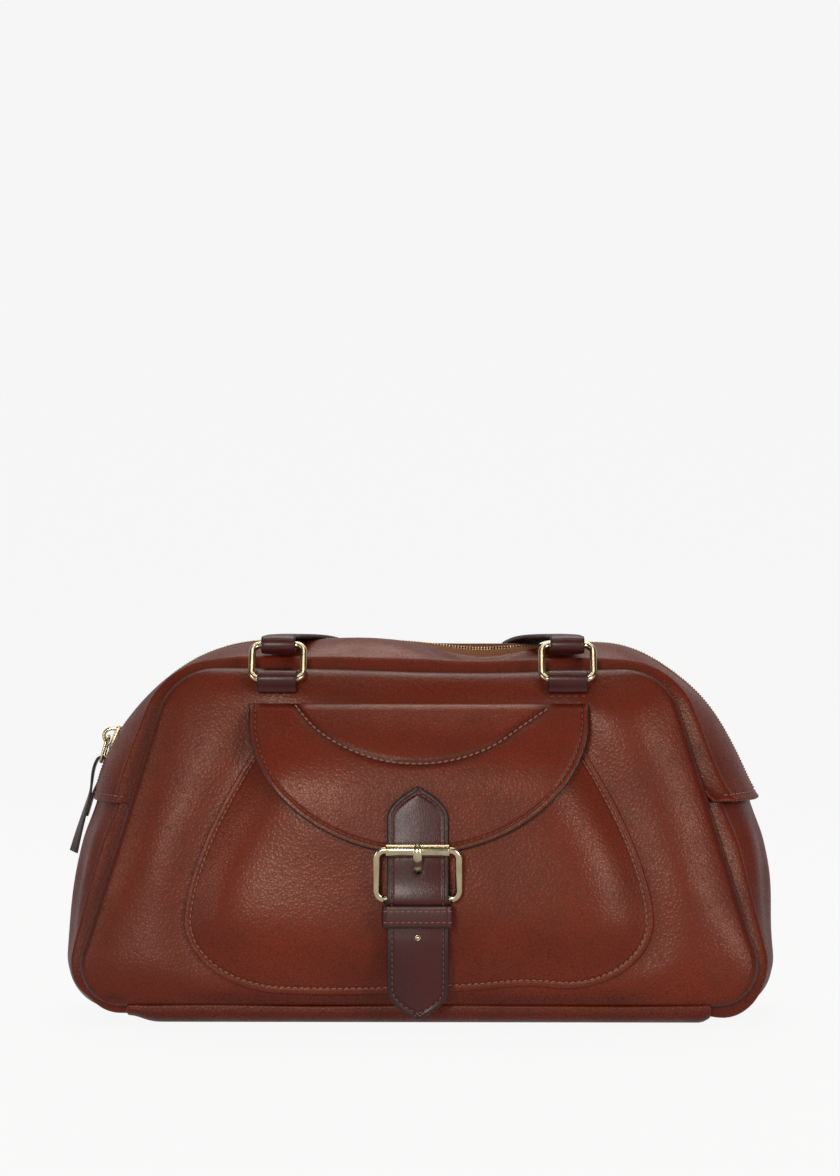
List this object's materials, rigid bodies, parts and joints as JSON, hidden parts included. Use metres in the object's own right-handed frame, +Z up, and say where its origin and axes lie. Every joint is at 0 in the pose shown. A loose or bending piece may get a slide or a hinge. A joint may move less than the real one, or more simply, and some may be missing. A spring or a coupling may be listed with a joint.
{
  "type": "bowling handbag",
  "caption": "Soft leather bowling handbag with a curved zipped top, a flap pocket closed by a strap and roller buckle, and short handles on metal rings.",
  "frame": {"origin": "middle of the base's underside, on the surface that the bag stands on", "axes": "+X to the right and -Y towards the viewer when the pocket is seen, +Z up"},
  "size_m": [0.3497, 0.1732, 0.1876],
  "materials": {
    "body_leather": "fine pebbled grain, satin, reddish chestnut",
    "dark_leather": "smooth, semi-gloss, dark oxblood",
    "hardware": "polished pale gold, a little worn",
    "zip_tape": "woven tape, matt brown",
    "zip_teeth": "dark antique brass"
  },
  "bodies": {
    "root": {"front_panel": "body_leather", "back_panel": "body_leather", "top_gusset_front": "body_leather", "top_gusset_rear": "body_leather", "side_gusset_left": "body_leather", "side_gusset_right": "body_leather", "base": "body_leather", "pocket": "body_leather", "pocket_flap": "body_leather", "zip_puller": "dark_leather", "pocket_strap": "dark_leather", "buckle_holder": "dark_leather", "strap_keeper": "dark_leather", "front_tab_left": "dark_leather", "front_tab_right": "dark_leather", "rear_tab_left": "dark_leather", "rear_tab_right": "dark_leather", "front_handle": "dark_leather", "rear_handle": "dark_leather", "zip_slider": "hardware", "zip_pull_ring": "hardware", "buckle_frame": "hardware", "buckle_roller": "hardware", "buckle_prong": "hardware", "strap_rivet": "hardware", "front_ring_left": "hardware", "front_ring_right": "hardware", "rear_ring_left": "hardware", "rear_ring_right": "hardware", "zip_tape_front": "zip_tape", "zip_tape_rear": "zip_tape", "zip_teeth": "zip_teeth"}
  },
  "joints": []
}
